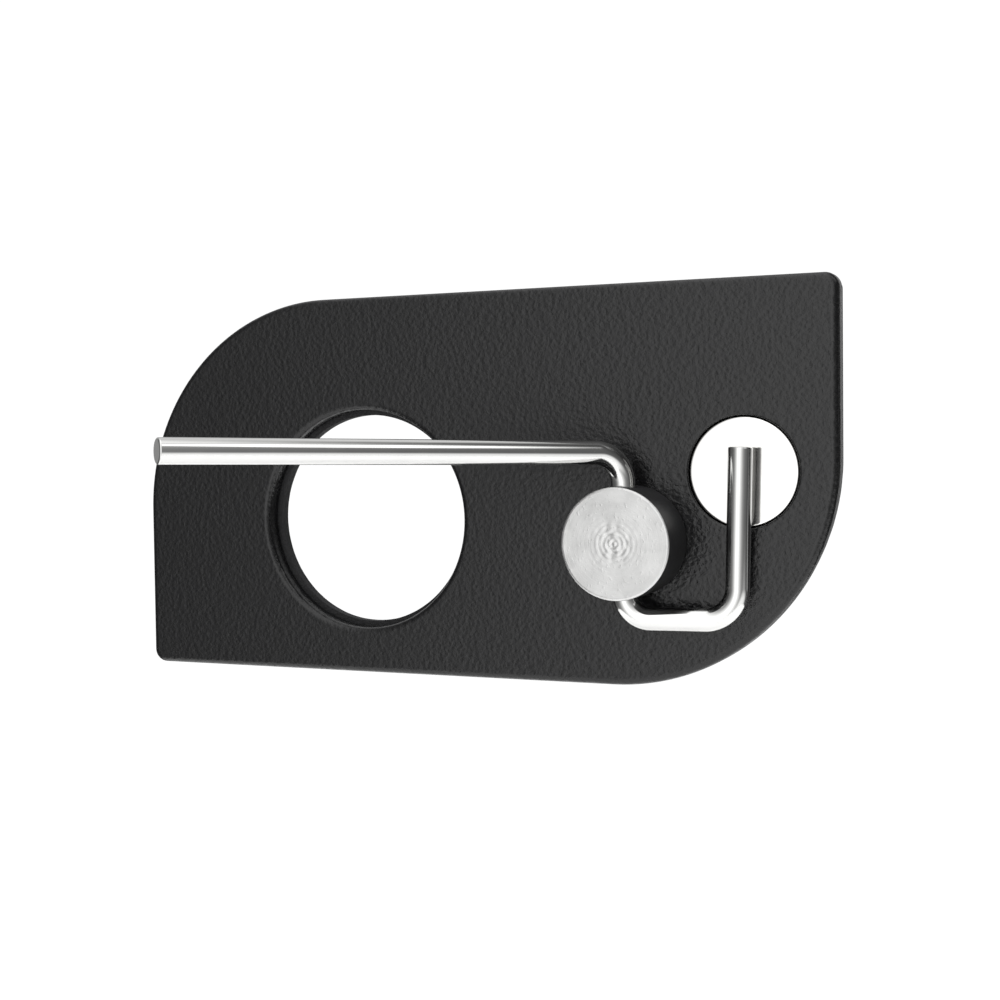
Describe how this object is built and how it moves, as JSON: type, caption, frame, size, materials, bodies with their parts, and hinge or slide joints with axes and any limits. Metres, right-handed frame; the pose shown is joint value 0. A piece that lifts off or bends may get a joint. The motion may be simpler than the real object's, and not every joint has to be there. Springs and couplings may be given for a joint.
{
  "type": "magnetic flipper arrow rest",
  "caption": "Stick-on arrow rest for a recurve bow: a bent wire arm swivels in a post on a thin plate, and a disc magnet draws it back out under the arrow.",
  "frame": {"origin": "foot of the pivot post's axis, on the outer face of the adhesive pad", "axes": "+Y out of the adhesive back, into the bow's riser; +Z along the pivot axis, upwards; +X from the post towards the magnet"},
  "size_m": [0.0433, 0.0233, 0.0223],
  "materials": {
    "black_textured_paint": "fine-grained black texture paint on sheet steel, satin",
    "foam_tape": "dark grey closed-cell foam tape, matt",
    "turned_aluminium": "faced and turned, satin",
    "nickel_plate": "bright nickel plating",
    "stainless_wire": "drawn and polished stainless spring wire"
  },
  "bodies": {
    "plate": {"base_plate": "black_textured_paint", "adhesive_pad": "foam_tape", "pivot_post": "turned_aluminium", "return_magnet": "nickel_plate"},
    "arm": {"flipper_arm": "stainless_wire"}
  },
  "joints": [
    {"name": "arm_pivot", "type": "hinge", "parent": "plate", "child": "arm", "pos_m": [0, -0.0035, 0], "axis": [0, 0, -1], "range_deg": [0, 52], "stiffness_Nm_per_rad": 0.0005, "springref_deg": -114.59}
  ]
}
